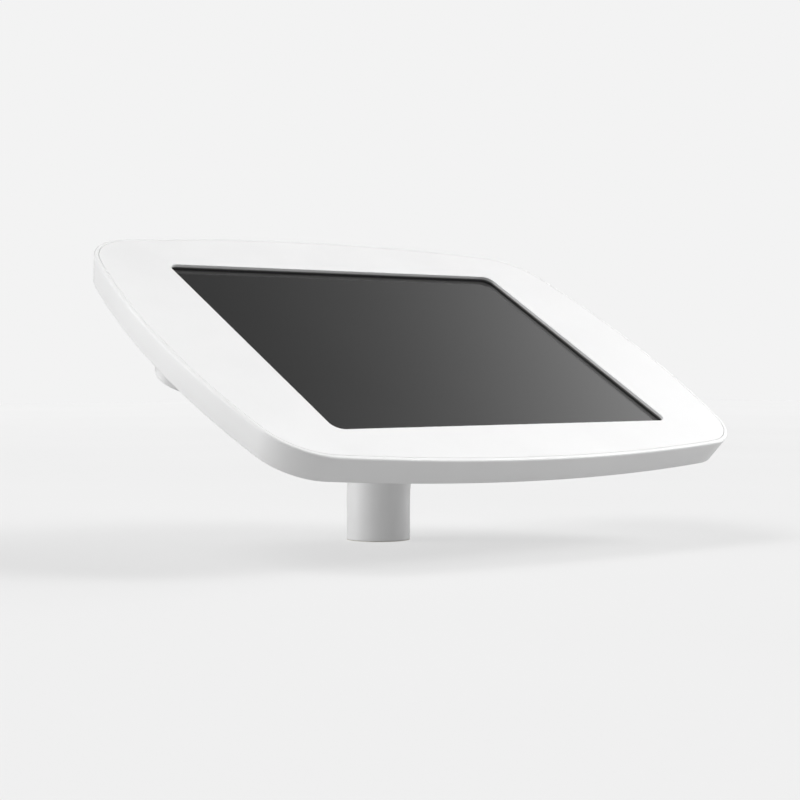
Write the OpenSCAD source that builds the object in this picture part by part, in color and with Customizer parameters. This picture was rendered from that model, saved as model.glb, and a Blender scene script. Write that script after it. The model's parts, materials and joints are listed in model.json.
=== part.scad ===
// Counter-post tablet enclosure: a pillow-shaped case holds a tablet behind a
// framed opening and stands on a short bent post that swivels on the counter.
// The origin is the centre of the post's foot on the counter top. +Z is up,
// +X runs along the case's long side and -Y faces the person at the screen.

/* [Tablet] */
// Length of the tablet's body
tablet_l = 240; // [200:0.5:300]
// Height of the tablet's body, held landscape
tablet_h = 169.5; // [140:0.5:220]
// Thickness of the tablet, glass included
tablet_t = 6.1; // [5:0.1:8]
// Corner radius of the tablet's body
tablet_r = 9; // [5:0.5:14]
// Thickness of the cover glass
glass_t = 0.7; // [0.5:0.1:1.2]
// Wall of the tablet's shell
shell_wall = 1; // [0.8:0.1:1.5]
// Sideways shift of the tablet from the case's centre, to leave plug room
tablet_u = -1.2; // [-4:0.1:0]
// Shift of the tablet towards the case's lower edge
tablet_v = -1.5; // [-3:0.5:3]

/* [Case] */
// Case width beyond the tablet at each end
end_margin = 27.7; // [24:0.1:40]
// Case width beyond the tablet at each long side
side_margin = 19.25; // [16:0.05:30]
// Radius of the bowed long sides
long_side_r = 873; // [600:1:1500]
// Radius of the bowed short sides
short_side_r = 351; // [250:1:800]
// Corner radius of the outline
corner_r = 30; // [24:0.5:36]
// Depth of the case from its front plane to its back
case_depth = 14; // [13.8:0.1:24]
// How far the wall leans in from front to back
wall_lean = 3; // [0:0.1:4]
// Thickness of the wall at the back edge
case_wall = 2; // [1.6:0.1:3]
// Thickness of the case's floor
floor_t = 1.8; // [1.5:0.1:3]
// Radius of the rounded front edge of the rim
rim_fillet = 1; // [0.2:0.1:1.1]
// Width of the rim that shows round the front plate
rim_w = 1.95; // [1.2:0.05:2.5]

/* [Front plate] */
// Length of the screen opening
opening_l = 203; // [150:0.5:236]
// Height of the screen opening
opening_h = 147.5; // [110:0.5:165]
// Corner radius of the screen opening
opening_r = 5.5; // [1:0.5:10]
// Thickness of the front plate
bezel_t = 1.5; // [1:0.1:2]
// Thickness of the gasket between front plate and glass
gasket_t = 0.8; // [0.5:0.1:2.5]
// Gap round the front plate in its rim
seam = 0.2; // [0.15:0.05:0.5]

/* [Post] */
// Outside diameter of the post
post_d = 31; // [28:0.5:40]
// Wall of the post
post_wall = 2; // [1.5:0.1:2.5]
// Length of the post's upright foot
post_foot_l = 18; // [18:0.5:120]
// Radius of the post's bend, at its centre line
post_bend_r = 79; // [50:0.5:150]
// Length of the straight stretch above the bend
post_head_l = 20.8; // [10:0.1:120]
// Tilt of the case from horizontal
tilt = 30; // [20:0.5:60]

/* [Foot] */
// Height of the spigot that the post turns on
spigot_h = 17; // [15:0.5:17.5]
// Diameter of the cable hole up through the spigot
cable_hole_d = 11; // [8:0.5:11.5]
// Pitch circle diameter of the tapped holes for the counter screws
bolt_pcd = 17.8; // [17:0.1:18]
// Number of counter screws
bolt_count = 3; // [3:1:3]
// Diameter of the tapped holes, M4 core
bolt_hole_d = 3.3; // [2.5:0.1:3.5]
// Depth of the tapped holes
bolt_hole_depth = 12; // [8:0.5:14]
// Thickness of the glide washer under the post
glide_t = 0.3; // [0.3:0.1:1]
// Wall of the acetal bushes
bush_wall = 1; // [0.8:0.1:1.5]

/* [Head joint] */
// Depth of the head joint between the post and the case's back
head_depth = 10; // [9.5:0.1:14]
// Radius of the head cover
head_cover_r = 30; // [29:0.5:40]
// Wall of the head cover
head_cover_wall = 2.4; // [1.5:0.1:3]
// Radius of the collar that the case turns on
collar_r = 13; // [12.5:0.1:14]
// Radius of the cable hole through the collar
collar_bore_r = 8; // [6:0.5:9]
// Pitch circle radius of the screws in the swivel plate
plate_screw_ring_r = 23; // [22:0.5:24]

/* [Lock] */
// Distance of the lock's centre from the end of the case
lock_inset = 20.9; // [17:0.1:22]
// Radius of the lock's boss on the back of the case
lock_boss_r = 14.3; // [10:0.1:16]
// Height of the lock's boss
lock_boss_h = 6; // [4:0.1:10]
// Reach of the cam from the lock's centre
cam_reach = 11.5; // [10.5:0.1:11.8]

/* [Fits] */
// Radial clearance of a turning fit
running_gap = 0.05; // [0.02:0.01:0.1]
// Radial clearance of a part pushed or screwed into another
push_gap = 0.05; // [0.02:0.01:0.1]
// Clearance between parts that pass each other
free_gap = 0.3; // [0.25:0.05:0.5]

/* [Hidden] */
$fn = 96;

white = [0.93, 0.93, 0.93];
plated = [0.72, 0.73, 0.75];
acetal = [0.86, 0.85, 0.80];
black = [0.08, 0.08, 0.09];
dark_grey = [0.25, 0.25, 0.27];

// Case outline: half sizes, and the centres that its arcs share with every inset of it
half_l = tablet_l / 2 + end_margin;
half_h = tablet_h / 2 + side_margin;
long_centre = [0, half_h - long_side_r];
short_centre = [half_l - short_side_r, 0];
centre_gap = norm(short_centre - long_centre);
centre_dir = (short_centre - long_centre) / centre_gap;
to_long = long_side_r - corner_r;
to_short = short_side_r - corner_r;
along = (to_long * to_long - to_short * to_short + centre_gap * centre_gap) / (2 * centre_gap);
across = sqrt(to_long * to_long - along * along);
corner_centre = long_centre + along * centre_dir + across * [centre_dir[1], -centre_dir[0]];
long_end = atan2(corner_centre[1] - long_centre[1], corner_centre[0] - long_centre[0]);
short_end = atan2(corner_centre[1] - short_centre[1], corner_centre[0] - short_centre[0]);
short_steps = 12;
corner_steps = 10;
long_steps = 16;

// Depths below the front plane, in the case's own frame (u, v, w) with w outwards
seat_w = -bezel_t - free_gap;
gasket_w = -bezel_t - gasket_t;
glass_w = gasket_w - 0.1;
tablet_back_w = glass_w - tablet_t;
floor_w = -case_depth + floor_t;
back_w = -case_depth;
head_w = back_w - head_depth;

// Centre of the case's front plane, from the post's bend and the head joint
front_y = post_bend_r * (1 - cos(tilt)) + (post_head_l - head_w) * sin(tilt);
front_z = post_foot_l + post_bend_r * sin(tilt) + (post_head_l - head_w) * cos(tilt);

// Foot, from the inside of the post inwards
post_r = post_d / 2;
bore_r = post_r - post_wall;
bush_r = bore_r - push_gap;
spigot_r = bush_r - bush_wall - running_gap;
post_lift = 0.1;
post_bottom_z = glide_t + post_lift;
groove_depth = 1.25;
groove_half = 2.1;
groove_z = spigot_h * 0.47;
tip_r = 1.6;
grub_r = 2.5;
stop_pin_r = 1.5;
bush_end_gap = 1;

// Head joint, along w
cover_floor_t = 1.5;
flange_t = 5;
washer_t = 1;
flange_top_w = head_w + flange_t;
plate_bottom_w = flange_top_w + washer_t;
plate_t = back_w - plate_bottom_w;
flange_r = head_cover_r - head_cover_wall - push_gap;
plate_r = flange_r - 0.5;
nut_t = 1.7;
nut_w = back_w + free_gap;
nut_r = collar_r + 4;
slot_ring_r = collar_r + 3.5;
head_pin_r = 1.25;
plate_screw_r = 2;
screw_head_r = 3.5;
screw_head_t = 1.6;
turn_angle = 90;

// Lock, from its centre line outwards and along w
lock_u = -(half_l - lock_inset);
plug_r = 4.5;
barrel_r = 6.5;
barrel_flange_r = 8.8;
barrel_flange_t = 1.2;
lock_nut_r = 9;
lock_nut_t = 1.6;
barrel_top_w = tablet_back_w - 0.8;
keeper_foot_t = 1.2;
keeper_foot_w = tablet_back_w - 0.5;
cam_w = keeper_foot_w + keeper_foot_t + 0.5;
cam_t = 1.5;
cam_hub_r = 4;
cam_half = 3.5;
cam_seat_r = 2.5;
cam_screw_r = 1.25;

// Hooks on the front plate's right end, and their pockets in the case's wall
hook_v = 25;
hook_w = 12;
hook_t = 1.2;
hook_top_w = -4.8;
lip_w = -3.3;
hook_under = 1.45;
inner_inset = wall_lean + case_wall - 0.3;

// Screen side of the tablet
panel_border = 1;
panel_t = 1.7;
cavity_w = tablet_back_w + shell_wall;
glass_back_w = glass_w - glass_t;
button_l = 10;
button_t = 2.2;
button_proud = 0.6;
button_gap = 0.25;

// ---------------------------------------------------------------- shared shapes

// Puts its children into the case's frame
module in_case() {
    translate([0, -front_y, front_z]) rotate([tilt, 0, 0]) children();
}

// Puts its children on the tablet's centre line, at depth w
module on_tablet(w) {
    translate([tablet_u, tablet_v, w]) children();
}

// Puts its children on the lock's centre line
module on_lock(w = 0) {
    in_case() translate([lock_u, 0, w]) children();
}

// Points of an arc, without its last one
function arc(centre, r, from, to, steps) = [
    for (i = [0 : steps - 1])
        let (a = from + (to - from) * i / steps) centre + r * [cos(a), sin(a)]
];

// The case's outline, moved in by inset, as one closed ring of points
function outline(inset) = let (
    long_r = long_side_r - inset,
    short_r = short_side_r - inset,
    round_r = corner_r - inset,
    cx = corner_centre[0],
    cy = corner_centre[1]
) concat(
    arc(short_centre, short_r, -short_end, short_end, short_steps),
    arc([cx, cy], round_r, short_end, long_end, corner_steps),
    arc(long_centre, long_r, long_end, 180 - long_end, long_steps),
    arc([-cx, cy], round_r, 180 - long_end, 180 - short_end, corner_steps),
    arc(-short_centre, short_r, 180 - short_end, 180 + short_end, short_steps),
    arc([-cx, -cy], round_r, 180 + short_end, 180 + long_end, corner_steps),
    arc(-long_centre, long_r, 180 + long_end, 360 - long_end, long_steps),
    arc([cx, -cy], round_r, 360 - long_end, 360 - short_end, corner_steps)
);

// How far out the outline reaches at height v on its right end
function end_reach(v, inset) =
    short_centre[0] + sqrt(pow(short_side_r - inset, 2) - v * v);

// A solid through rings of the outline, each given as [w, inset] from the back up
module outline_solid(rings) {
    count = len(outline(0));
    points = [for (ring = rings) for (p = outline(ring[1])) [p[0], p[1], ring[0]]];
    sides = [
        for (k = [0 : len(rings) - 2], i = [0 : count - 1])
            let (j = (i + 1) % count)
            [k * count + i, (k + 1) * count + i, (k + 1) * count + j, k * count + j]
    ];
    last = (len(rings) - 1) * count;
    polyhedron(points, concat(
        [[for (i = [0 : count - 1]) i]],
        sides,
        [[for (i = [count - 1 : -1 : 0]) last + i]]
    ));
}

// A rectangle with round corners, centred
module round_rect(l, h, r) {
    square([l - 2 * r, h], center = true);
    square([l, h - 2 * r], center = true);
    for (x = [-1, 1], y = [-1, 1])
        translate([x * (l / 2 - r), y * (h / 2 - r)]) circle(r);
}

// A flat ring along +Z
module ring(outer, inner, h) {
    linear_extrude(h) difference() {
        circle(outer);
        circle(inner);
    }
}

// ---------------------------------------------------------------- foot

module foot_spigot() color(plated) difference() {
    cylinder(r = spigot_r, h = spigot_h);
    translate([0, 0, -1]) cylinder(d = cable_hole_d, h = spigot_h + 2);
    for (i = [0 : bolt_count - 1])
        rotate([0, 0, 90 + i * 360 / bolt_count])
            translate([bolt_pcd / 2, 0, -1]) cylinder(d = bolt_hole_d, h = bolt_hole_depth + 1);
    translate([0, 0, groove_z - groove_half])
        ring(spigot_r + 1, spigot_r - groove_depth, 2 * groove_half);
    translate([0, -cable_hole_d / 2 - 1, groove_z]) rotate([90, 0, 0])
        cylinder(r = stop_pin_r + push_gap, h = spigot_r);
}

module glide_washer() color(acetal)
    ring(post_r - 0.1, spigot_r + push_gap, glide_t);

module swivel_stop_pin() color(plated)
    translate([0, -cable_hole_d / 2 - 1.2, groove_z]) rotate([90, 0, 0])
        cylinder(r = stop_pin_r, h = spigot_r - 0.4 - cable_hole_d / 2 - 1.2);

// ---------------------------------------------------------------- post

module post_tube() color(white) difference() {
    union() {
        translate([0, 0, post_bottom_z]) ring(post_r, bore_r, post_foot_l - post_bottom_z);
        translate([0, -post_bend_r, post_foot_l]) rotate([90, 0, 90])
            rotate_extrude(angle = tilt) translate([post_bend_r, 0]) difference() {
                circle(post_r);
                circle(bore_r);
            }
    }
    translate([0, 0, groove_z]) rotate([-90, 0, 0])
        cylinder(r = grub_r + push_gap, h = post_r + 1);
}

module lower_bush() color(acetal) translate([0, 0, post_bottom_z])
    ring(bush_r, spigot_r + running_gap, groove_z - groove_half - bush_end_gap / 2 - post_bottom_z);

module upper_bush() color(acetal) translate([0, 0, groove_z + groove_half + bush_end_gap / 2])
    ring(bush_r, spigot_r + running_gap,
         spigot_h - bush_end_gap - groove_z - groove_half - bush_end_gap / 2);

module grub_screw() color(black) translate([0, 0, groove_z]) rotate([-90, 0, 0]) difference() {
    union() {
        translate([0, 0, spigot_r - groove_depth + free_gap])
            cylinder(r = tip_r, h = post_wall + groove_depth);
        translate([0, 0, bore_r]) cylinder(r = grub_r, h = post_wall - 0.3);
    }
    translate([0, 0, bore_r + 0.4]) cylinder(r = 1.25, h = post_wall, $fn = 6);
}

module post_head() color(plated) in_case() difference() {
    union() {
        translate([0, 0, head_w - post_head_l]) cylinder(r = post_r, h = post_head_l);
        translate([0, 0, head_w]) cylinder(r = flange_r, h = flange_t);
        translate([0, 0, head_w]) cylinder(r = collar_r, h = nut_w + nut_t - head_w);
    }
    translate([0, 0, head_w - post_head_l - 1]) cylinder(r = bore_r, h = post_head_l + 1);
    translate([0, 0, head_w - 1]) cylinder(r = collar_bore_r, h = case_depth + head_depth);
    translate([slot_ring_r, 0, flange_top_w - 3]) cylinder(r = head_pin_r + push_gap, h = 4);
}

module friction_washer() color(acetal) in_case() translate([0, 0, flange_top_w])
    ring(plate_r, slot_ring_r + head_pin_r + 0.8, washer_t - 0.1);

module retaining_nut() color(plated) in_case() translate([0, 0, nut_w]) difference() {
    ring(nut_r, collar_r + push_gap, nut_t);
    for (a = [0 : 90 : 270])
        rotate([0, 0, a]) translate([nut_r - 1.2, -1.25, nut_t - 1]) cube([3, 2.5, 2]);
}

module head_cover() color(white) in_case() rotate_extrude() {
    inner_r = head_cover_r - head_cover_wall;
    round_r = 2;
    bottom_w = head_w - cover_floor_t;
    difference() {
        union() {
            translate([post_r + 0.2, bottom_w])
                square([head_cover_r - round_r - post_r - 0.2, cover_floor_t]);
            translate([head_cover_r - round_r, bottom_w + round_r])
                square([round_r, back_w - 0.5 - bottom_w - round_r]);
            translate([inner_r, bottom_w + round_r])
                square([head_cover_wall - round_r, back_w - 0.5 - bottom_w - round_r]);
            translate([head_cover_r - round_r, bottom_w + round_r]) circle(round_r);
        }
        translate([0, head_w]) square([inner_r, head_depth]);
    }
}

module head_stop_pin() color(plated) in_case() translate([slot_ring_r, 0, flange_top_w - 2.9])
    cylinder(r = head_pin_r, h = 2.9 + washer_t + plate_t - 0.4);

module cable_grommet() color(black) in_case() {
    inside_r = collar_bore_r - 1.5;
    top_w = nut_w + nut_t;
    translate([0, 0, top_w - 4]) ring(collar_bore_r - push_gap, inside_r, 4);
    translate([0, 0, top_w]) ring(collar_bore_r + 2, inside_r, 1);
}

// ---------------------------------------------------------------- case

module rear_case() color(white) in_case() difference() {
    outline_solid([
        [back_w, wall_lean + 1],
        [back_w + 0.5, wall_lean + 0.134],
        [back_w + 1, wall_lean],
        [-rim_fillet, 0],
        [-rim_fillet * 0.5, rim_fillet * 0.134],
        [-rim_fillet * 0.134, rim_fillet * 0.5],
        [0, rim_fillet]
    ]);
    translate([0, 0, floor_w]) linear_extrude(case_depth) polygon(outline(inner_inset));
    translate([0, 0, seat_w]) linear_extrude(case_depth) polygon(outline(rim_w));
    translate([0, 0, back_w - 1]) cylinder(r = nut_r + 1.5, h = floor_t + 2);
    for (a = [45 : 90 : 315])
        rotate([0, 0, a]) translate([plate_screw_ring_r, 0, back_w - 1])
            cylinder(r = plate_screw_r + 0.2, h = floor_t + 2);
    translate([lock_u, 0, back_w - 1]) cylinder(r = barrel_r + 0.2, h = floor_t + 2);
    for (side = [-1, 1])
        translate([end_reach(hook_v, 0) - 8, side * hook_v - hook_w / 2 - 2, lip_w - 3.9])
            cube([5.4, hook_w + 4, 3.9]);
}

module swivel_plate() color(plated) in_case() translate([0, 0, plate_bottom_w]) difference() {
    ring(plate_r, collar_r + running_gap, plate_t);
    translate([0, 0, -1]) rotate_extrude(angle = turn_angle)
        translate([slot_ring_r - head_pin_r - free_gap, 0])
            square([2 * (head_pin_r + free_gap), plate_t + 2]);
    for (a = [0, turn_angle])
        rotate([0, 0, a]) translate([slot_ring_r, 0, -1])
            cylinder(r = head_pin_r + free_gap, h = plate_t + 2);
    for (a = [45 : 90 : 315])
        rotate([0, 0, a]) translate([plate_screw_ring_r, 0, -1])
            cylinder(r = plate_screw_r + push_gap, h = plate_t + 2);
}

module plate_screws() color(plated) in_case() for (a = [45 : 90 : 315])
    rotate([0, 0, a]) translate([plate_screw_ring_r, 0, 0]) difference() {
        union() {
            translate([0, 0, plate_bottom_w + 0.5])
                cylinder(r = plate_screw_r, h = floor_w - plate_bottom_w);
            translate([0, 0, floor_w]) cylinder(r = screw_head_r, h = screw_head_t);
        }
        translate([0, 0, floor_w + 0.5]) cylinder(r = 1.25, h = screw_head_t, $fn = 6);
    }

module corner_pads() color(dark_grey) in_case() difference() {
    pad_l = 36;
    translate([0, 0, floor_w]) linear_extrude(glass_w - 0.5 - floor_w) intersection() {
        polygon(outline(inner_inset + 0.1));
        for (x = [-1, 1], y = [-1, 1])
            translate([tablet_u + x * (tablet_l / 2 + 2), tablet_v + y * (tablet_h / 2 + 2)])
                square(pad_l, center = true);
    }
    on_tablet(tablet_back_w) linear_extrude(tablet_t + 1)
        round_rect(tablet_l + 0.2, tablet_h + 0.2, tablet_r + 0.1);
}

module lock_housing() color(white) on_lock(back_w - lock_boss_h) difference() {
    round_r = 0.8;
    rotate_extrude() difference() {
        union() {
            translate([barrel_r + push_gap, round_r])
                square([lock_boss_r - barrel_r - push_gap, lock_boss_h - round_r]);
            translate([barrel_r + push_gap, 0])
                square([lock_boss_r - round_r - barrel_r - push_gap, round_r * 2]);
            translate([lock_boss_r - round_r, round_r]) circle(round_r);
        }
        square([barrel_flange_r + push_gap, barrel_flange_t]);
    }
}

module lock_barrel() color(plated) on_lock(back_w - lock_boss_h) {
    ring(barrel_flange_r, plug_r + running_gap, barrel_flange_t);
    translate([0, 0, barrel_flange_t]) ring(barrel_r, plug_r + running_gap,
        barrel_top_w - back_w + lock_boss_h - barrel_flange_t);
}

module lock_nut() color(plated) on_lock(floor_w) linear_extrude(lock_nut_t) difference() {
    circle(lock_nut_r, $fn = 6);
    circle(barrel_r + push_gap);
}

// ---------------------------------------------------------------- tablet

module tablet_shell() color(plated) in_case() difference() {
    on_tablet(tablet_back_w) linear_extrude(tablet_t - glass_t)
        round_rect(tablet_l, tablet_h, tablet_r);
    on_tablet(cavity_w) linear_extrude(tablet_t)
        round_rect(tablet_l - 2 * shell_wall, tablet_h - 2 * shell_wall, tablet_r - shell_wall);
    for (b = [power_place, volume_up_place, volume_down_place])
        button_at(b) cube([button_l + 2 * button_gap, 4 * shell_wall, button_t + 2 * button_gap],
                          center = true);
    on_tablet(port_w) translate([tablet_l / 2, 0, 0]) cube([8, 9, 2.6], center = true);
}

module tablet_glass() color(black) in_case() on_tablet(glass_back_w)
    linear_extrude(glass_t) round_rect(tablet_l, tablet_h, tablet_r);

module display_panel() color(dark_grey) in_case() on_tablet(glass_back_w - panel_t)
    linear_extrude(panel_t)
        square([opening_l + 2 * panel_border, opening_h + 2 * panel_border], center = true);

module battery_cells() color([0.15, 0.15, 0.17]) in_case() for (side = [-1, 1])
    on_tablet(cavity_w + 0.1) translate([side * battery_l / 2 - 14 + side, 0, 0])
        linear_extrude(room_t - 0.3) round_rect(battery_l, tablet_h * 0.72, 2);

module logic_board() color([0.10, 0.30, 0.20]) in_case() on_tablet(cavity_w + 0.1)
    translate([board_u, 0, 0]) linear_extrude(0.8) square([26, tablet_h * 0.7], center = true);

module charge_port() color(plated) in_case() on_tablet(port_w)
    translate([tablet_l / 2 - 4.2, 0, 0]) difference() {
        cube([8, 8.6, 2.4], center = true);
        translate([1, 0, 0]) cube([8, 7.6, 1.6], center = true);
    }

module speakers() color(black) in_case() for (side = [-1, 1])
    on_tablet(cavity_w + 0.1) translate([tablet_l / 2 - 9, side * tablet_h * 0.3, 0])
        linear_extrude(2.6) round_rect(12, 30, 2);

battery_l = tablet_l * 0.34;
room_t = glass_back_w - panel_t - cavity_w;
board_u = battery_l + 6;
port_w = (tablet_back_w + glass_back_w) / 2;
button_w = (tablet_back_w + glass_back_w) / 2;

// Buttons: [u, v] on the tablet's edge from its centre, and the way they are pressed in
power_place = [[-tablet_l / 2, tablet_h * 0.3], -90];
volume_up_place = [[-tablet_l * 0.36, tablet_h / 2], 180];
volume_down_place = [[-tablet_l * 0.30, tablet_h / 2], 180];

// Puts its children on a button's place, with +Y pressing the button in
module button_at(place) {
    on_tablet(button_w) translate([place[0][0], place[0][1], 0]) rotate([0, 0, place[1]]) children();
}

// A key that stands proud of the shell, with a flange behind the wall
module side_button(place) color(plated) in_case() button_at(place) {
    translate([-button_l / 2, -button_proud, -button_t / 2])
        cube([button_l, button_proud + shell_wall + 0.2, button_t]);
    translate([-button_l / 2 - 1, shell_wall + 0.1, -button_t / 2])
        cube([button_l + 2, 0.8, button_t]);
}

module power_button() side_button(power_place);
module volume_up_button() side_button(volume_up_place);
module volume_down_button() side_button(volume_down_place);

// ---------------------------------------------------------------- front plate

module front_bezel() color(white) in_case() translate([0, 0, -bezel_t]) linear_extrude(bezel_t)
    difference() {
        polygon(outline(rim_w + seam));
        translate([tablet_u, tablet_v]) round_rect(opening_l, opening_h, opening_r);
    }

module bezel_gasket() color(black) in_case() on_tablet(gasket_w) linear_extrude(gasket_t)
    difference() {
        round_rect(tablet_l - 4, tablet_h - 4, tablet_r - 2);
        round_rect(opening_l + 1, opening_h + 1, opening_r + 0.5);
    }

module hinge_hooks() color(plated) in_case() for (side = [-1, 1]) {
    leg_u = end_reach(hook_v + hook_w / 2, inner_inset) - 0.4 - hook_t;
    tip_u = end_reach(hook_v, inner_inset) + hook_under;
    translate([0, side * hook_v - hook_w / 2, 0]) {
        translate([leg_u, 0, hook_top_w - hook_t])
            cube([hook_t, hook_w, -bezel_t - hook_top_w + hook_t]);
        translate([leg_u, 0, hook_top_w - hook_t]) cube([tip_u - leg_u, hook_w, hook_t]);
        translate([leg_u - 7, 0, -bezel_t - hook_t]) cube([8, hook_w, hook_t]);
    }
}

module lock_keeper() color(plated) in_case() {
    leg_u = -(half_l - inner_inset) + 1;
    keeper_h = 12;
    translate([leg_u, -keeper_h / 2, keeper_foot_w])
        cube([keeper_foot_t, keeper_h, -bezel_t - keeper_foot_w]);
    translate([leg_u, -keeper_h / 2, keeper_foot_w])
        cube([lock_u - cam_reach + 3.3 - leg_u, keeper_h, keeper_foot_t]);
    translate([leg_u, -keeper_h / 2, -bezel_t - keeper_foot_t]) cube([9, keeper_h, keeper_foot_t]);
}

// ---------------------------------------------------------------- lock

module lock_plug() color(plated) on_lock() difference() {
    face_w = back_w - lock_boss_h + 0.2;
    union() {
        translate([0, 0, face_w]) cylinder(r = plug_r, h = barrel_top_w - face_w);
        translate([0, 0, face_w]) cylinder(r = cam_hub_r, h = cam_w - face_w);
        translate([0, 0, face_w]) cylinder(r = cam_seat_r, h = cam_w + cam_t - face_w);
    }
    translate([-0.5, -3, face_w - 1]) cube([1, 6, 5]);
    translate([0, 0, cam_w - 4]) cylinder(r = cam_screw_r + push_gap, h = cam_t + 5);
}

module lock_cam() color(plated) on_lock(cam_w) linear_extrude(cam_t) difference() {
    union() {
        circle(cam_hub_r);
        translate([-cam_half, 0]) square([2 * cam_half, cam_reach - cam_half]);
        translate([0, cam_reach - cam_half]) circle(cam_half);
    }
    circle(cam_seat_r + push_gap);
}

module cam_screw() color(plated) on_lock(cam_w) difference() {
    union() {
        translate([0, 0, -3.8]) cylinder(r = cam_screw_r, h = cam_t + 3.8);
        translate([0, 0, cam_t]) cylinder(r = 3, h = 1.5);
    }
    translate([-2.4, -0.3, cam_t + 0.8]) cube([4.8, 0.6, 2]);
}

foot_spigot();
glide_washer();
swivel_stop_pin();
post_tube();
lower_bush();
upper_bush();
grub_screw();
post_head();
friction_washer();
retaining_nut();
head_cover();
head_stop_pin();
cable_grommet();
rear_case();
swivel_plate();
plate_screws();
corner_pads();
lock_housing();
lock_barrel();
lock_nut();
tablet_shell();
tablet_glass();
display_panel();
battery_cells();
logic_board();
charge_port();
speakers();
front_bezel();
bezel_gasket();
hinge_hooks();
lock_keeper();
lock_plug();
lock_cam();
cam_screw();
power_button();
volume_up_button();
volume_down_button();
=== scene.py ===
"""Looks of a counter-post tablet enclosure: a white case with a framed screen on a bent post."""
import json
import math

import bmesh
import bpy
from mathutils import Matrix, Vector


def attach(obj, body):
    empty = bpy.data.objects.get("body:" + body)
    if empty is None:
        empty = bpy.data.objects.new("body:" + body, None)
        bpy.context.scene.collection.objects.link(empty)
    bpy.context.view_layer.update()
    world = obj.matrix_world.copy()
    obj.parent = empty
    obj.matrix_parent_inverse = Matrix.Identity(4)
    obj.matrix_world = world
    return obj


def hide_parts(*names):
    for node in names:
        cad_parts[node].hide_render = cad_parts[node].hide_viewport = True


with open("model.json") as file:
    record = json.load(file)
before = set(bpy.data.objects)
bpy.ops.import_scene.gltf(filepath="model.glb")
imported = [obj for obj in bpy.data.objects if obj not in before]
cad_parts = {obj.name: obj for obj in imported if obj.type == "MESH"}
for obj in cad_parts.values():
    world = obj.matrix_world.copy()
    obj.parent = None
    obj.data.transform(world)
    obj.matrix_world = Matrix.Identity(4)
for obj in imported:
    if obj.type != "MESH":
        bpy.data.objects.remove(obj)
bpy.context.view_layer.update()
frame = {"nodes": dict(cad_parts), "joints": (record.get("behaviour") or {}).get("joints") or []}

MM = 0.001
X = Vector((1, 0, 0))
Z = Vector((0, 0, 1))
NODES = frame["nodes"]
JOINTS = {joint["name"]: joint for joint in frame["joints"]}


# ------------------------------------------------------------------ the case's own frame

OUT = Vector(JOINTS["case_turn"]["axis"]).normalized()
UP = Vector(JOINTS["bezel_open"]["axis"]).normalized()
ALONG = UP.cross(OUT)


def extent(node, axis):
    """Lowest and highest reach of a CAD node along an axis."""
    reach = [v.co.dot(axis) for v in NODES[node].data.vertices]
    return min(reach), max(reach)


def middle(node, axis):
    """Half way between a CAD node's lowest and highest reach along an axis."""
    return sum(extent(node, axis)) / 2


def place_on(origin):
    """Matrix of a frame with the case's axes and its origin at a point."""
    turn = Matrix((ALONG, UP, OUT)).transposed().to_4x4()
    return Matrix.Translation(origin) @ turn


front = extent("front_bezel", OUT)[1]
case_centre = middle("rear_case", ALONG) * ALONG + middle("rear_case", UP) * UP + front * OUT
CASE = place_on(case_centre)


def level(node, top=True):
    """A CAD node's top or bottom, measured outwards from the case's front plane."""
    return extent(node, OUT)[1 if top else 0] - front


# ------------------------------------------------------------------ sizes

half_l = extent("rear_case", ALONG)[1] - middle("rear_case", ALONG)
half_h = extent("rear_case", UP)[1] - middle("rear_case", UP)
back_w = level("rear_case", top=False)
plate_inset = half_l - (extent("front_bezel", ALONG)[1] - case_centre.dot(ALONG))
plate_back_w = level("front_bezel", top=False)
floor_w = level("corner_pads", top=False)
lock_u = middle("lock_housing", ALONG) - case_centre.dot(ALONG)
wall_lean = 3.0 * MM
inner_inset = 4.7 * MM
rim_w = 1.95 * MM
seat_gap = 0.3 * MM
seat_w = plate_back_w - seat_gap
long_side_r = 873 * MM
short_side_r = 351 * MM
corner_r = 30 * MM
opening_border = 1 * MM
opening_r = 5.5 * MM
screw_ring_r = 23 * MM
screw_r = 2 * MM
lock_face_t = 1.2 * MM
post_bend_r = 79 * MM
post_foot_l = 18 * MM
post_wall = 2 * MM
flange_t = 5 * MM
flange_w = level("friction_washer", top=False) - flange_t


# ------------------------------------------------------------------ mesh helpers


def arc(centre, r, start, end, steps):
    """Points of an arc, without its last one; angles in radians."""
    step = (end - start) / steps
    return [
        (centre[0] + r * math.cos(start + i * step), centre[1] + r * math.sin(start + i * step))
        for i in range(steps)
    ]


def corner_of_outline():
    """Centre of the outline's corner arc, and the angles where it meets the two side arcs."""
    long_centre = Vector((0, half_h - long_side_r))
    short_centre = Vector((half_l - short_side_r, 0))
    gap = short_centre - long_centre
    to_long = long_side_r - corner_r
    to_short = short_side_r - corner_r
    along = (to_long ** 2 - to_short ** 2 + gap.length_squared) / (2 * gap.length)
    across = math.sqrt(to_long ** 2 - along ** 2)
    unit = gap.normalized()
    corner = long_centre + along * unit + across * Vector((unit.y, -unit.x))
    from_long = corner - long_centre
    from_short = corner - short_centre
    return corner, math.atan2(from_short.y, from_short.x), math.atan2(from_long.y, from_long.x)


CORNER, SHORT_END, LONG_END = corner_of_outline()


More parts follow.
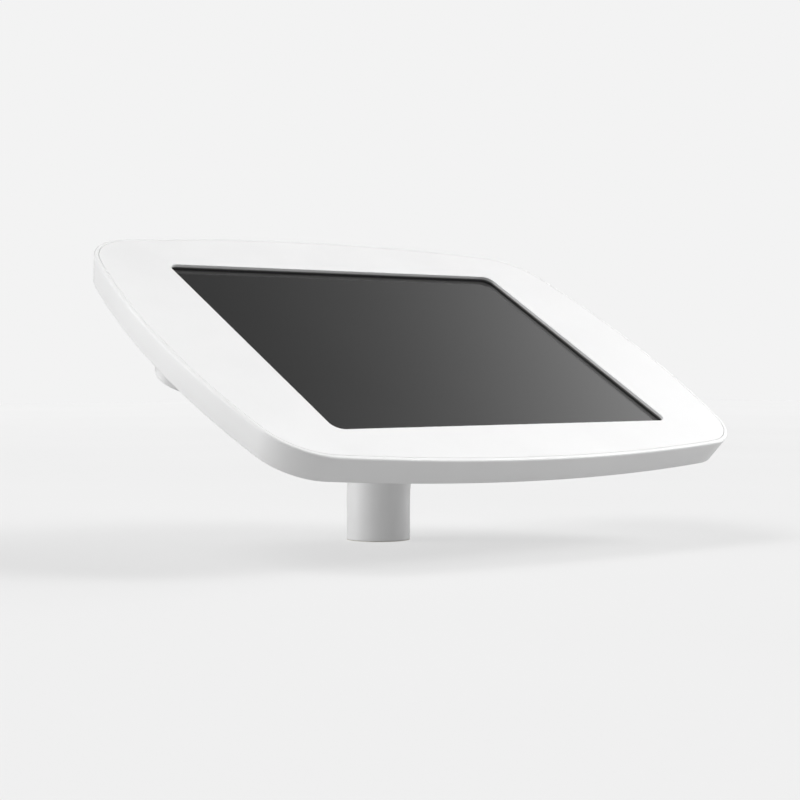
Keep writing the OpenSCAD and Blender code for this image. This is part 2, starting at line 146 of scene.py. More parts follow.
def outline(inset, short_steps=40, corner_steps=30, long_steps=64):
    """The case's outline, moved in by inset, as a closed ring of points."""
    x, y = CORNER
    short_x = half_l - short_side_r
    long_y = half_h - long_side_r
    round_r = corner_r - inset
    pi = math.pi
    return (
        arc((short_x, 0), short_side_r - inset, -SHORT_END, SHORT_END, short_steps)
        + arc((x, y), round_r, SHORT_END, LONG_END, corner_steps)
        + arc((0, long_y), long_side_r - inset, LONG_END, pi - LONG_END, long_steps)
        + arc((-x, y), round_r, pi - LONG_END, pi - SHORT_END, corner_steps)
        + arc((-short_x, 0), short_side_r - inset, pi - SHORT_END, pi + SHORT_END, short_steps)
        + arc((-x, -y), round_r, pi + SHORT_END, pi + LONG_END, corner_steps)
        + arc((0, -long_y), long_side_r - inset, pi + LONG_END, 2 * pi - LONG_END, long_steps)
        + arc((x, -y), round_r, 2 * pi - LONG_END, 2 * pi - SHORT_END, corner_steps)
    )


def round_rect(centre, half, r, inset, corner_steps=16, side_steps=12):
    """A rectangle with round corners, moved in by inset, as a closed ring of points."""
    corners = [
        (centre[0] + sx * (half[0] - r), centre[1] + sy * (half[1] - r))
        for sx, sy in ((1, 1), (-1, 1), (-1, -1), (1, -1))
    ]
    round_r = r - inset
    points = []
    for i, (x, y) in enumerate(corners):
        next_x, next_y = corners[(i + 1) % 4]
        start, end = i * math.pi / 2, (i + 1) * math.pi / 2
        side_x, side_y = x + round_r * math.cos(end), y + round_r * math.sin(end)
        points += arc((x, y), round_r, start, end, corner_steps)
        points += [
            (side_x + (next_x - x) * k / side_steps, side_y + (next_y - y) * k / side_steps)
            for k in range(side_steps)
        ]
    return points


def add_ring(bm, points, w):
    """Vertices of a flat ring at height w."""
    return [bm.verts.new((x, y, w)) for x, y in points]


def skin(bm, rings):
    """Quads between each ring of vertices and the next, closed round."""
    for low, high in zip(rings, rings[1:]):
        count = len(low)
        for i in range(count):
            j = (i + 1) % count
            bm.faces.new((low[i], low[j], high[j], high[i]))


def fill(bm, *loops):
    """A flat face between one closed ring and any rings inside it."""
    edges = []
    for ring in loops:
        for a, b in zip(ring, ring[1:] + ring[:1]):
            edges.append(bm.edges.get((a, b)) or bm.edges.new((a, b)))
    bmesh.ops.triangle_fill(bm, edges=edges, use_beauty=True)


def mesh_object(name, bm, place=Matrix.Identity(4), sharp=30, turn_out=True):
    """Makes an object of a bmesh, its place in its mesh, shaded smooth up to an angle."""
    if turn_out:
        bmesh.ops.recalc_face_normals(bm, faces=bm.faces)
    mesh = bpy.data.meshes.new(name)
    bm.transform(place)
    bm.to_mesh(mesh)
    bm.free()
    mesh.shade_smooth()
    mesh.set_sharp_from_angle(angle=math.radians(sharp))
    piece = bpy.data.objects.new(name, mesh)
    bpy.context.scene.collection.objects.link(piece)
    return piece


def lathe(name, profile, place, steps=96, closed=True, sharp=30):
    """Turns a profile of (radius, height) points round the placed frame's third axis."""
    bm = bmesh.new()
    rings = []
    for r, h in profile:
        if r < 1e-9:
            rings.append([bm.verts.new((0, 0, h))])
        else:
            rings.append(add_ring(bm, arc((0, 0), r, 0, 2 * math.pi, steps), h))
    pairs = list(zip(rings, rings[1:]))
    if closed:
        pairs.append((rings[-1], rings[0]))
    for low, high in pairs:
        if len(low) == 1 and len(high) == 1:
            continue
        for i in range(steps):
            j = (i + 1) % steps
            corners = [low[i % len(low)], low[j % len(low)], high[j % len(high)], high[i % len(high)]]
            bm.faces.new(list(dict.fromkeys(corners)))
    return mesh_object(name, bm, place, sharp)


def rounded(corners, r, steps=5):
    """A profile with its corners rounded; each is (radius, height) or has a third, its own r."""
    most_of_side = 0.48
    points = []
    for i, corner in enumerate(corners):
        here = Vector(corner[:2])
        own_r = corner[2] if len(corner) > 2 else r
        if own_r <= 0:
            points.append(tuple(here))
            continue
        before = Vector(corners[i - 1][:2]) - here
        after = Vector(corners[(i + 1) % len(corners)][:2]) - here
        half = before.angle(after) / 2
        cut = min(own_r / math.tan(half), before.length * most_of_side, after.length * most_of_side)
        own_r = cut * math.tan(half)
        bisector = (before.normalized() + after.normalized()).normalized()
        centre = here + bisector * own_r / math.sin(half)
        spoke = here + before.normalized() * cut - centre
        turn = spoke.angle_signed(here + after.normalized() * cut - centre)
        for k in range(steps + 1):
            a = -turn * k / steps
            c, s = math.cos(a), math.sin(a)
            points.append(tuple(centre + Vector((spoke.x * c - spoke.y * s, spoke.x * s + spoke.y * c))))
    return points


# ------------------------------------------------------------------ materials


class Paint:
    """A node material under construction; its helpers return sockets."""

    LOW, HIGH = 0.3, 0.7

    def __init__(self, name, **values):
        self.material = bpy.data.materials.new(name)
        self.material.use_nodes = True
        self.tree = self.material.node_tree
        self.shader = self.tree.nodes["Principled BSDF"]
        for socket, value in values.items():
            self.shader.inputs[socket.replace("_", " ")].default_value = value

    def node(self, kind, **settings):
        made = self.tree.nodes.new(kind)
        for key, value in settings.items():
            setattr(made, key, value)
        return made

    def link(self, source, target):
        self.tree.links.new(source, target)

    def place(self):
        return self.node("ShaderNodeTexCoord").outputs["Object"]

    def noise(self, scale, detail=2.0, roughness=0.5, source=None):
        texture = self.node("ShaderNodeTexNoise")
        texture.inputs["Scale"].default_value = scale
        texture.inputs["Detail"].default_value = detail
        texture.inputs["Roughness"].default_value = roughness
        self.link(source or self.place(), texture.inputs["Vector"])
        return texture.outputs["Fac"]

    def spread(self, source, low, high):
        """Maps the middle of a pattern's range onto low to high."""
        return self.remap(source, self.LOW, self.HIGH, low, high)

    def remap(self, source, from_low, from_high, to_low, to_high, curve="LINEAR"):
        mapped = self.node("ShaderNodeMapRange", interpolation_type=curve)
        mapped.inputs["From Min"].default_value = from_low
        mapped.inputs["From Max"].default_value = from_high
        mapped.inputs["To Min"].default_value = to_low
        mapped.inputs["To Max"].default_value = to_high
        self.link(source, mapped.inputs["Value"])
        return mapped.outputs["Result"]

    def colours(self, source, low, high):
        """Maps the middle of a pattern's range onto two colours."""
        ramp = self.node("ShaderNodeValToRGB")
        for stop, position, colour in zip(ramp.color_ramp.elements, (self.LOW, self.HIGH), (low, high)):
            stop.position = position
            stop.color = (*colour, 1)
        self.link(source, ramp.inputs["Fac"])
        return ramp.outputs["Color"]

    def bump(self, source, depth, strength=1.0):
        bumped = self.node("ShaderNodeBump")
        bumped.inputs["Strength"].default_value = strength
        bumped.inputs["Distance"].default_value = depth
        self.link(source, bumped.inputs["Height"])
        self.link(bumped.outputs["Normal"], self.shader.inputs["Normal"])

    def set(self, socket, source):
        self.link(source, self.shader.inputs[socket])


def shade(value):
    """A grey."""
    return (value, value, value)


def powder_coat(name, low, high, roughness):
    """Satin white powder coat: a fine orange peel with faint patches of gloss."""
    paint = Paint(name, IOR=1.5, Coat_Weight=0.15, Coat_Roughness=0.25)
    paint.set("Base Color", paint.colours(paint.noise(22, 3), shade(low), shade(high)))
    paint.set("Roughness", paint.spread(paint.noise(60, 4), roughness - 0.04, roughness + 0.04))
    paint.bump(paint.noise(1400, 2, 0.4), 0.008 * MM)
    return paint.material


def moulded(name, colour, roughness, grain=2600):
    """Fine spark-eroded texture of a moulded part."""
    paint = Paint(name, IOR=1.47)
    dim = tuple(0.93 * c for c in colour)
    paint.set("Base Color", paint.colours(paint.noise(35, 3), dim, colour))
    paint.set("Roughness", paint.spread(paint.noise(300, 3), roughness - 0.06, roughness + 0.06))
    paint.bump(paint.noise(grain, 3, 0.6), 0.02 * MM)
    return paint.material


def metal(name, colour, roughness, grain=(60, 60, 900)):
    """Bare or plated metal with a fine brushed grain."""
    paint = Paint(name, Metallic=1.0)
    mapping = paint.node("ShaderNodeMapping")
    mapping.inputs["Scale"].default_value = grain
    paint.link(paint.place(), mapping.inputs["Vector"])
    brushed = paint.noise(8, 4, 0.6, mapping.outputs["Vector"])
    dim = tuple(0.86 * c for c in colour)
    paint.set("Base Color", paint.colours(brushed, dim, colour))
    paint.set("Roughness", paint.spread(brushed, roughness - 0.05, roughness + 0.08))
    paint.bump(brushed, 0.006 * MM)
    return paint.material


def screen_glass(name):
    """Cover glass over a display that is off, with the faintest smears."""
    paint = Paint(name, IOR=1.5)
    paint.set("Base Color", paint.colours(paint.noise(9, 2), shade(0.016), shade(0.019)))
    paint.set("Roughness", paint.spread(paint.noise(14, 5, 0.6), 0.10, 0.14))
    return paint.material


def circuit(name):
    """Green solder mask with a grid of tracks."""
    paint = Paint(name, IOR=1.5, Roughness=0.35)
    tracks = paint.node("ShaderNodeTexBrick")
    tracks.inputs["Scale"].default_value = 260
    tracks.inputs["Color1"].default_value = (0.01, 0.10, 0.05, 1)
    tracks.inputs["Color2"].default_value = (0.015, 0.14, 0.07, 1)
    tracks.inputs["Mortar"].default_value = (0.03, 0.22, 0.11, 1)
    paint.link(paint.place(), tracks.inputs["Vector"])
    paint.set("Base Color", tracks.outputs["Color"])
    return paint.material


# ------------------------------------------------------------------ Geometry Nodes


class Recipe:
    """A Geometry Nodes tree under construction, with named inputs and a Finish, its material."""

    def __init__(self, name, **inputs):
        self.tree = bpy.data.node_groups.new(name, "GeometryNodeTree")
        sockets = self.tree.interface
        sockets.new_socket("Geometry", in_out="INPUT", socket_type="NodeSocketGeometry")
        for key, kind in {**inputs, "Finish": "Material"}.items():
            sockets.new_socket(key, in_out="INPUT", socket_type="NodeSocket" + kind)
        sockets.new_socket("Geometry", in_out="OUTPUT", socket_type="NodeSocketGeometry")
        self.inputs = self.tree.nodes.new("NodeGroupInput").outputs

    def node(self, kind, **values):
        """Adds a node; each value is a socket to link or a number to set."""
        made = self.tree.nodes.new(kind)
        for key, value in values.items():
            target = made.inputs[key.replace("_", " ")]
            if isinstance(value, bpy.types.NodeSocket):
                self.tree.links.new(value, target)
            else:
                target.default_value = value
        return made

    def finish(self, geometry):
        """Ends the tree in real geometry with its material."""
        real = self.node("GeometryNodeRealizeInstances", Geometry=geometry)
        painted = self.node("GeometryNodeSetMaterial", Geometry=real.outputs["Geometry"],
                            Material=self.inputs["Finish"])
        out = self.tree.nodes.new("NodeGroupOutput")
        self.tree.links.new(painted.outputs["Geometry"], out.inputs["Geometry"])
        return self.tree


def plain_copy(piece):
    """Turns a piece's modifiers into its mesh."""
    evaluated = piece.evaluated_get(bpy.context.evaluated_depsgraph_get())
    mesh = bpy.data.meshes.new_from_object(evaluated)
    piece.modifiers.clear()
    piece.data = mesh
    return piece


def grow(piece, tree, **values):
    """Runs a recipe on a piece, keeps the result as its plain mesh."""
    modifier = piece.modifiers.new(tree.name, "NODES")
    modifier.node_group = tree
    for item in tree.interface.items_tree:
        if item.in_out == "INPUT" and item.name in values:
            modifier[item.identifier] = values[item.name]
    bpy.context.view_layer.update()
    return plain_copy(piece)


# ------------------------------------------------------------------ shells and post


def cut_away(piece, cutter, sharp=30):
    """Takes one piece's shape out of another and drops the cutter."""
    bpy.context.view_layer.update()
    boolean = piece.modifiers.new("cut", "BOOLEAN")
    boolean.operation = "DIFFERENCE"
    boolean.solver = "EXACT"
    boolean.object = cutter
    plain_copy(piece)
    bpy.data.objects.remove(cutter)
    piece.data.shade_smooth()
    piece.data.set_sharp_from_angle(angle=math.radians(sharp))
    return piece


def quarter(steps=6):
    """Sine and cosine along a quarter turn."""
    turns = [math.pi / 2 * i / steps for i in range(steps + 1)]
    return [(math.sin(a), math.cos(a)) for a in turns]


def case_rings():
    """The case's section as (w, inset) pairs: back edge, wall, rim, seat and inside wall."""
    back_r = 1.0 * MM
    front_r = 1.0 * MM
    rim_r = 0.1 * MM
    seat_r = 0.3 * MM
    floor_r = 1.2 * MM
    support = 0.08 * MM
    rings = [(back_w, wall_lean + back_r + support)]
    rings += [(back_w + back_r * (1 - c), wall_lean + back_r * (1 - s)) for s, c in quarter()]
    rings += [(-front_r * (1 - s), front_r * (1 - c)) for s, c in quarter(8)]
    rings += [(0, rim_w - rim_r - support)]
    rings += [(-rim_r * (1 - c), rim_w - rim_r * (1 - s)) for s, c in quarter(4)]
    rings += [(seat_w, rim_w)]
    rings += [(seat_w - seat_r * (1 - c), inner_inset - seat_r * (1 - s)) for s, c in quarter(3)]
    rings += [(floor_w + floor_r * (1 - s), inner_inset + floor_r * (1 - c)) for s, c in quarter(4)]
    rings += [(floor_w, inner_inset + floor_r + support)]
    return rings


def add_box(bm, low, size):
    """A box from its lowest corner and its size."""
    place = Matrix.Translation(low + size / 2) @ Matrix.Diagonal((*size, 1))
    bmesh.ops.create_cube(bm, size=1, matrix=place)


def case_cutters():
    """Holes in the floor for head, screws and lock, and the pockets under the lip for the hooks."""
    head_hole_r = 18.5 * MM
    screw_hole_r = screw_r + 0.2 * MM
    lock_hole_r = 6.7 * MM
    hook_v = 25 * MM
    pocket = Vector((5.4 * MM, 16 * MM, 3.9 * MM))
    pocket_top_w = -3.3 * MM
    pocket_start = 8 * MM
    bm = bmesh.new()

    def hole(centre, r):
        ring = arc(centre, r, 0, 2 * math.pi, 72)
        low = add_ring(bm, ring, back_w - MM)
        high = add_ring(bm, ring, floor_w + MM)
        skin(bm, [low, high])
        bm.faces.new(low[::-1])
        bm.faces.new(high)

    hole((0, 0), head_hole_r)
    for turn in (45, 135, 225, 315):
        a = math.radians(turn)
        hole((screw_ring_r * math.cos(a), screw_ring_r * math.sin(a)), screw_hole_r)
    hole((lock_u, 0), lock_hole_r)
    end_u = half_l - short_side_r + math.sqrt(short_side_r ** 2 - hook_v ** 2)
    for side in (-1, 1):
        add_box(bm, Vector((end_u - pocket_start, side * hook_v - pocket.y / 2, pocket_top_w - pocket.z)),
                pocket)
    return mesh_object("cutter", bm, CASE)


def rear_case():
    """The pan that holds the tablet, with its rim, its seat for the front plate and its holes."""
    bm = bmesh.new()
    rings = [add_ring(bm, outline(inset), w) for w, inset in case_rings()]
    skin(bm, rings)
    bm.faces.new(rings[0][::-1])
    bm.faces.new(rings[-1])
    shell = mesh_object("case_shell", bm, CASE)
    return cut_away(shell, case_cutters())


def screen_opening(inset):
    """The ring of the screen opening in the front plate, widened where inset is negative."""
    u = extent("display_panel", ALONG)
    v = extent("display_panel", UP)
    centre = (sum(u) / 2 - case_centre.dot(ALONG), sum(v) / 2 - case_centre.dot(UP))
    half = ((u[1] - u[0]) / 2 - opening_border, (v[1] - v[0]) / 2 - opening_border)
    return round_rect(centre, half, opening_r, inset)


def front_plate():
    """The plate with the screen opening, its edges eased."""
    edge_r = 0.12 * MM
    under_r = 0.1 * MM
    support = 0.06 * MM
    section = [(plate_back_w, under_r + support)]
    section += [(plate_back_w + under_r * (1 - c), under_r * (1 - s)) for s, c in quarter(3)]
    section += [(-edge_r * (1 - s), edge_r * (1 - c)) for s, c in quarter(5)]
    section += [(0, edge_r + support)]
    bm = bmesh.new()
    outer = [add_ring(bm, outline(plate_inset + inset), w) for w, inset in section]
    inner = [add_ring(bm, screen_opening(-inset), w) for w, inset in section]
    skin(bm, outer)
    skin(bm, inner[::-1])
    fill(bm, outer[0], inner[0])
    fill(bm, outer[-1], inner[-1])
    return mesh_object("front_plate", bm, CASE)


def post_path(bend_steps=24):
    """Centre points and directions up the post, from its foot to the head's flange."""
    tilt = math.atan2(-OUT.y, OUT.z)
    path = [(Vector((0, 0, extent("post_tube", Z)[0])), Z)]
    for i in range(bend_steps + 1):
        a = tilt * i / bend_steps
        point = Vector((0, -post_bend_r * (1 - math.cos(a)), post_foot_l + post_bend_r * math.sin(a)))
        path.append((point, Vector((0, -math.sin(a), math.cos(a)))))
    last, direction = path[-1]
    reach = (CASE @ Vector((0, 0, flange_w)) - last).dot(OUT)
    path.append((last + direction * reach, direction))
    return path


def sweep_recipe():
    """Geometry Nodes: a round tube swept along the input's polyline."""
    recipe = Recipe("swept_tube", Outer_radius="Float", Sides="Int")
    path = recipe.node("GeometryNodeMeshToCurve", Mesh=recipe.inputs["Geometry"])
    round_curve = recipe.node("GeometryNodeCurvePrimitiveCircle",
                              Resolution=recipe.inputs["Sides"],
                              Radius=recipe.inputs["Outer_radius"])
    tube = recipe.node("GeometryNodeCurveToMesh", Curve=path.outputs["Curve"],
                       Profile_Curve=round_curve.outputs["Curve"])
    return recipe.finish(tube.outputs["Mesh"])


def post():
    """The bent tube, swept along its path, with its wall inside and its edges eased."""
    outer_r = extent("post_tube", X)[1]
    path = post_path()
    mesh = bpy.data.meshes.new("post_path")
    mesh.from_pydata([p for p, _ in path], [(i, i + 1) for i in range(len(path) - 1)], [])
    piece = bpy.data.objects.new("post_skin", mesh)
    bpy.context.scene.collection.objects.link(piece)
    grow(piece, sweep_recipe(), Outer_radius=outer_r, Sides=96, Finish=WHITE_COAT)
    bm = bmesh.new()
    bm.from_mesh(piece.data)
    bmesh.ops.remove_doubles(bm, verts=bm.verts, dist=0.001 * MM)
    bmesh.ops.recalc_face_normals(bm, faces=bm.faces)
    if sum(f.normal.x * f.calc_center_median().x for f in bm.faces) < 0:
        bmesh.ops.reverse_faces(bm, faces=bm.faces)
    bm.to_mesh(piece.data)
    bm.free()
    wall = piece.modifiers.new("wall", "SOLIDIFY")
    wall.thickness = post_wall
    wall.offset = -1
    wall.use_even_offset = True
    ease = piece.modifiers.new("ease", "BEVEL")
    ease.width = 0.15 * MM
    ease.segments = 3
    ease.limit_method = "ANGLE"
    ease.angle_limit = math.radians(50)
    plain_copy(piece)
    return cut_away(piece, grub_hole_cutter(outer_r))


def grub_hole_cutter(outer_r):
    """A cylinder through the wall at the back of the post's foot, for the grub screw."""
    clearance = 0.05 * MM
    lowest, highest = extent("grub_screw", Z)
    place = Matrix.Translation((0, 0, (lowest + highest) / 2)) @ Matrix.Rotation(-math.pi / 2, 4, "X")
    r = (highest - lowest) / 2 + clearance
    start, end = outer_r - 2 * post_wall, outer_r + MM
    return lathe("cutter", [(0, start), (r, start), (r, end), (0, end)], place, 48, closed=False)


def post_head():
    """Flange and collar of the post's head, without the neck that the tube's mesh shows."""
    flange_r = 27.55 * MM
    collar_r = 13 * MM
    bore = 8 * MM
    top = level("retaining_nut")
    flange_top = level("friction_washer", top=False)
    profile = rounded([
        (bore, flange_w), (flange_r, flange_w), (flange_r, flange_top),
        (collar_r, flange_top, 0), (collar_r, top), (bore, top),
    ], 0.3 * MM)
    return lathe("head_and_collar", profile, CASE)


def head_cover():
    """The white cup that hides the head joint."""
    outer_r = 30 * MM
    inner_r = 27.6 * MM
    hole_r = 15.7 * MM
    bottom = level("head_cover", top=False)
    top = level("head_cover")
    profile = rounded([
        (hole_r, bottom), (outer_r, bottom, 2 * MM), (outer_r, top), (inner_r, top),
        (inner_r, flange_w, 0), (hole_r, flange_w),
    ], 0.35 * MM, 8)
    return lathe("head_joint_cover", profile, CASE, 128)


def on_lock():
    """Matrix of the case's frame with its origin on the lock's axis."""
    return CASE @ Matrix.Translation((lock_u, 0, 0))


def lock_boss():
    """The boss on the back of the case that the cam lock sits in."""
    outer_r = 14.3 * MM
    bore = 6.55 * MM
    seat_r = 8.85 * MM
    low = level("lock_housing", top=False)
    high = level("lock_housing")
    seat = low + lock_face_t
    profile = rounded([
        (bore, seat, 0), (seat_r, seat, 0), (seat_r, low, 0.2 * MM), (outer_r, low, 0.8 * MM),
        (outer_r, high, 0), (bore, high, 0),
    ], 0.3 * MM, 6)
    return lathe("lock_boss", profile, on_lock(), 128)


def lock_face():
    """The barrel of the cam lock with its eased face."""
    bore = 4.55 * MM
    face_r = 8.8 * MM
    body_r = 6.5 * MM
    low = level("lock_barrel", top=False)
    high = level("lock_barrel")
    shoulder = low + lock_face_t
    profile = rounded([
        (bore, low), (face_r, low, 0.4 * MM), (face_r, shoulder, 0), (body_r, shoulder, 0),
        (body_r, high), (bore, high),
    ], 0.25 * MM)
    return lathe("lock_face", profile, on_lock())


def lock_plug():
    """The plug that the key turns, with its keyway."""
    plug_r = 4.5 * MM
    hub_r = 4 * MM
    tip_r = 2.5 * MM
    keyway = Vector((1.0, 6.0, 3.2)) * MM
    spare = 0.8 * MM
    low = level("lock_plug", top=False)
    shoulder = level("lock_barrel")
    seat = level("lock_cam", top=False)
    top = level("lock_cam")
    profile = rounded([
        (0, low, 0), (plug_r, low), (plug_r, shoulder), (hub_r, shoulder, 0), (hub_r, seat, 0),
        (tip_r, seat, 0), (tip_r, top, 0), (0, top, 0),
    ], 0.2 * MM)
    plug = lathe("plug_with_keyway", profile, on_lock(), closed=False)
    bm = bmesh.new()
    add_box(bm, Vector((-keyway.x / 2, -keyway.y / 2, low - spare)), keyway + spare * Z)
    return cut_away(plug, mesh_object("cutter", bm, on_lock()))


def screw_ring_recipe():
    """Geometry Nodes: copies the input geometry onto the points of a ring."""
    recipe = Recipe("screw_ring", Count="Int", Ring_radius="Float", First_turn="Float")
    points = recipe.node("GeometryNodeMeshCircle", Vertices=recipe.inputs["Count"],
                         Radius=recipe.inputs["Ring_radius"])
    turn = recipe.node("ShaderNodeCombineXYZ", Z=recipe.inputs["First_turn"])
    turned = recipe.node("GeometryNodeTransform", Geometry=points.outputs["Mesh"],
                         Rotation=turn.outputs["Vector"])
    copies = recipe.node("GeometryNodeInstanceOnPoints", Points=turned.outputs["Geometry"],
                         Instance=recipe.inputs["Geometry"])
    return recipe.finish(copies.outputs["Instances"])


def plate_screws():
    """Four socket-head screws that hold the swivel plate to the case's floor."""
    head_r = 3.5 * MM
    socket_r = 1.25 * MM
    below_socket = 0.5 * MM
    point = 0.3 * MM
    edge = 0.1 * MM
    low = level("plate_screws", top=False)
    high = level("plate_screws")
    bm = bmesh.new()
    rings = [add_ring(bm, arc((0, 0), r, 0, 2 * math.pi, 48), w) for r, w in (
        (screw_r - point, low), (screw_r, low + point), (screw_r, floor_w), (head_r, floor_w),
        (head_r, high - 3 * edge), (head_r - edge, high - edge), (head_r - 3 * edge, high))]
    skin(bm, rings)
    bm.faces.new(rings[0][::-1])
    hexagon = arc((0, 0), socket_r, 0, 2 * math.pi, 6)
    mouth = add_ring(bm, hexagon, high)
    socket = add_ring(bm, hexagon, floor_w + below_socket)
    fill(bm, rings[-1], mouth)
    skin(bm, [mouth, socket])
    bm.faces.new(socket)
    screws = mesh_object("socket_screws", bm)
    grow(screws, screw_ring_recipe(), Count=4, Ring_radius=screw_ring_r, First_turn=math.pi / 4,
         Finish=PLATED)
    screws.data.transform(CASE)
    return screws


# ------------------------------------------------------------------ finishes

WHITE_COAT = powder_coat("white_powder_coat", 0.80, 0.83, 0.42)
SATIN_WHITE = moulded("satin_white_cover", shade(0.80), 0.45)
PLATED = metal("plated_steel", (0.62, 0.63, 0.65), 0.32)
LOCK_CHROME = metal("lock_chrome", (0.74, 0.75, 0.77), 0.2, (400, 400, 40))
ALUMINIUM = metal("anodised_aluminium", (0.55, 0.56, 0.58), 0.38, (90, 900, 90))
BLACK_STEEL = metal("black_oxide_steel", (0.05, 0.05, 0.055), 0.4)
ACETAL = moulded("natural_acetal", (0.74, 0.72, 0.66), 0.5, 1800)
RUBBER = moulded("black_rubber", (0.02, 0.02, 0.021), 0.7, 1500)
GASKET = moulded("dark_grey_gasket", shade(0.2), 0.6, 1500)
GREY_PAD = moulded("grey_pad", (0.09, 0.09, 0.10), 0.85, 1300)
CELL_WRAP = moulded("battery_wrap", (0.03, 0.03, 0.035), 0.35, 700)
SCREEN = screen_glass("screen_glass")
PANEL = moulded("panel_black", (0.012, 0.012, 0.014), 0.3, 3000)
BOARD = circuit("circuit_board")

FINISHES = {
    WHITE_COAT: ("rear_case", "front_bezel", "post_tube"),
    SATIN_WHITE: ("head_cover", "lock_housing"),
    PLATED: ("foot_spigot", "swivel_stop_pin", "post_head", "retaining_nut", "head_stop_pin",
             "swivel_plate", "plate_screws", "lock_nut", "hinge_hooks", "lock_keeper",
             "lock_cam", "cam_screw", "charge_port"),
    LOCK_CHROME: ("lock_barrel", "lock_plug"),
    ALUMINIUM: ("tablet_shell", "power_button", "volume_up_button", "volume_down_button"),
    BLACK_STEEL: ("grub_screw",),
    ACETAL: ("glide_washer", "lower_bush", "upper_bush", "friction_washer"),
    RUBBER: ("cable_grommet", "speakers"),
    GASKET: ("bezel_gasket",),
    GREY_PAD: ("corner_pads",),
    CELL_WRAP: ("battery_cells",),
    SCREEN: ("tablet_glass",),
    PANEL: ("display_panel",),
    BOARD: ("logic_board",),
}
FINISH_OF = {node: finish for finish, nodes in FINISHES.items() for node in nodes}

for node, finish in FINISH_OF.items():
    for slot in NODES[node].material_slots:
        slot.material = finish


def stands_for(piece, body, node):
    """Puts a piece in a CAD node's place, with the node's finish and body."""
    piece.data.materials.clear()
    piece.data.materials.append(FINISH_OF[node])
    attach(piece, body)
    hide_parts(node)


stands_for(rear_case(), "case", "rear_case")
stands_for(front_plate(), "bezel", "front_bezel")
stands_for(post(), "post", "post_tube")
stands_for(post_head(), "post", "post_head")
stands_for(head_cover(), "post", "head_cover")
stands_for(lock_boss(), "case", "lock_housing")
stands_for(lock_face(), "case", "lock_barrel")
stands_for(lock_plug(), "lock", "lock_plug")
stands_for(plate_screws(), "case", "plate_screws")


# ------------------------------------------------------------------ floor, light and camera


def direction(azimuth, elevation):
    """A unit vector; azimuth in degrees from +Y towards +X."""
    a, e = math.radians(azimuth), math.radians(elevation)
    return Vector((math.sin(a) * math.cos(e), math.cos(a) * math.cos(e), math.sin(e)))


def pale_floor(half_size, seen_light, cast_light, far_light):
    """A large plain floor, part of whose paleness is its own soft light, so shadows stay light.

    It glows less for the object than for the camera, and rises to the backdrop's tone far away.
    """
    near, far = 0.8, 2.8
    bm = bmesh.new()
    bmesh.ops.create_grid(bm, x_segments=1, y_segments=1, size=half_size)
    floor = mesh_object("floor", bm, turn_out=False)
    paint = Paint("pale_floor", Roughness=1.0, Emission_Color=(1, 1, 1, 1), Specular_IOR_Level=0.0)
    paint.set("Base Color", paint.colours(paint.noise(3, 2), shade(0.245), shade(0.255)))
    distance = paint.node("ShaderNodeVectorMath", operation="LENGTH")
    paint.link(paint.place(), distance.inputs[0])
    glow = paint.node("ShaderNodeMix")
    glow.inputs["A"].default_value = cast_light
    paint.link(paint.node("ShaderNodeLightPath").outputs["Is Camera Ray"], glow.inputs["Factor"])
    paint.link(paint.remap(distance.outputs["Value"], near, far, seen_light, far_light, "SMOOTHSTEP"),
               glow.inputs["B"])
    paint.set("Emission Strength", glow.outputs["Result"])
    floor.data.materials.append(paint.material)


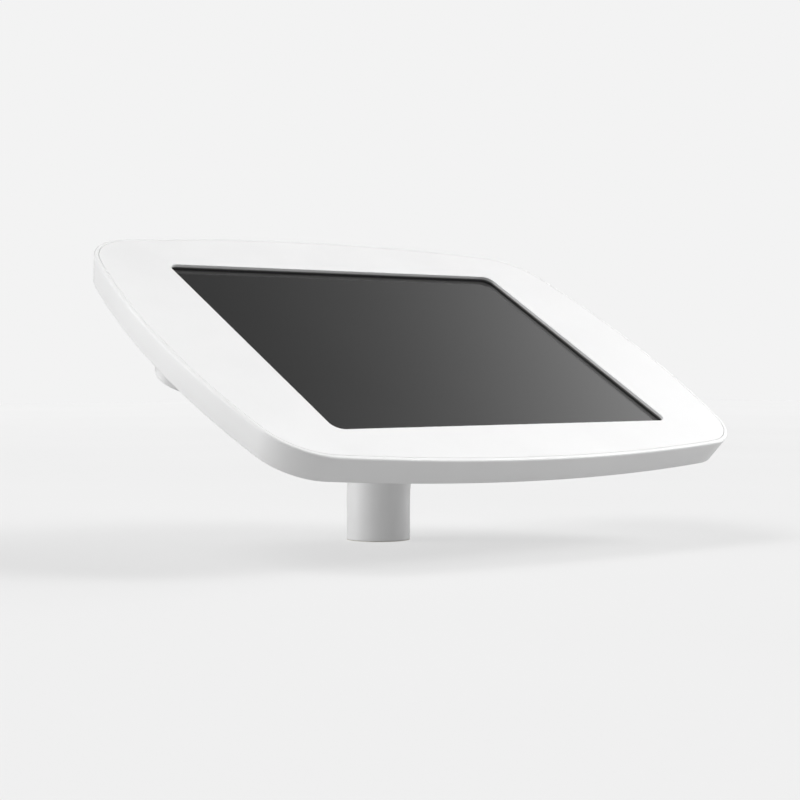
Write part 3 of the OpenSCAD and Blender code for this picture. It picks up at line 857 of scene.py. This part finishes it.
def soft_surround(ambient, lobes, backdrop):
    """Light from all round, brighter in soft lobes; the camera sees a plain backdrop instead."""
    world = bpy.data.worlds.new("soft_surround")
    bpy.context.scene.world = world
    world.use_nodes = True
    tree = world.node_tree
    tree.nodes.clear()
    towards = tree.nodes.new("ShaderNodeTexCoord").outputs["Generated"]

    def maths(operation, *values):
        made = tree.nodes.new("ShaderNodeMath")
        made.operation = operation
        for target, value in zip(made.inputs, values):
            if isinstance(value, bpy.types.NodeSocket):
                tree.links.new(value, target)
            else:
                target.default_value = value
        return made.outputs[0]

    total = ambient
    for azimuth, elevation, sharpness, strength in lobes:
        dot = tree.nodes.new("ShaderNodeVectorMath")
        dot.operation = "DOT_PRODUCT"
        tree.links.new(towards, dot.inputs[0])
        dot.inputs[1].default_value = direction(azimuth, elevation)
        facing = maths("MAXIMUM", dot.outputs["Value"], 0.0)
        lobe = maths("POWER", facing, sharpness)
        total = maths("MULTIPLY_ADD", lobe, strength, total)
    light = tree.nodes.new("ShaderNodeBackground")
    tree.links.new(total, light.inputs["Strength"])
    light.inputs["Color"].default_value = (1, 1, 1, 1)
    seen = tree.nodes.new("ShaderNodeBackground")
    seen.inputs["Color"].default_value = (*shade(backdrop), 1)
    mix = tree.nodes.new("ShaderNodeMixShader")
    tree.links.new(tree.nodes.new("ShaderNodeLightPath").outputs["Is Camera Ray"], mix.inputs[0])
    tree.links.new(light.outputs[0], mix.inputs[1])
    tree.links.new(seen.outputs[0], mix.inputs[2])
    out = tree.nodes.new("ShaderNodeOutputWorld")
    tree.links.new(mix.outputs[0], out.inputs["Surface"])


# Soft lights in the surround: azimuth, elevation, sharpness, strength
LOBES = [
    (65, 28, 40, 0.57),
    (80, 28, 40, 2.73),
    (100, 5, 40, 5.65),
    (105, 48, 40, 3.33),
    (125, 35, 40, 13.4),
    (225, 10, 8, 0.58),
    (285, 15, 30, 1.76),
    (300, 55, 30, 8.16),
    (310, 8, 30, 7.9),
]
pale_floor(half_size=3.0, seen_light=0.56, cast_light=0.25, far_light=0.588)
soft_surround(ambient=0.1, lobes=LOBES, backdrop=0.896)

CAMERA_PLACE = (-0.5757, -0.7069, 0.0852)
CAMERA_DOWN = math.radians(1.069)
CAMERA_TURN = math.radians(-39.824)
lens = bpy.data.cameras.new("camera")
lens.lens = 83.84
lens.sensor_width = 36
camera = bpy.data.objects.new("camera", lens)
bpy.context.scene.collection.objects.link(camera)
camera.location = CAMERA_PLACE
camera.rotation_euler = (math.pi / 2 - CAMERA_DOWN, 0, CAMERA_TURN)
bpy.context.scene.camera = camera
bpy.context.scene.view_settings.view_transform = "Standard"
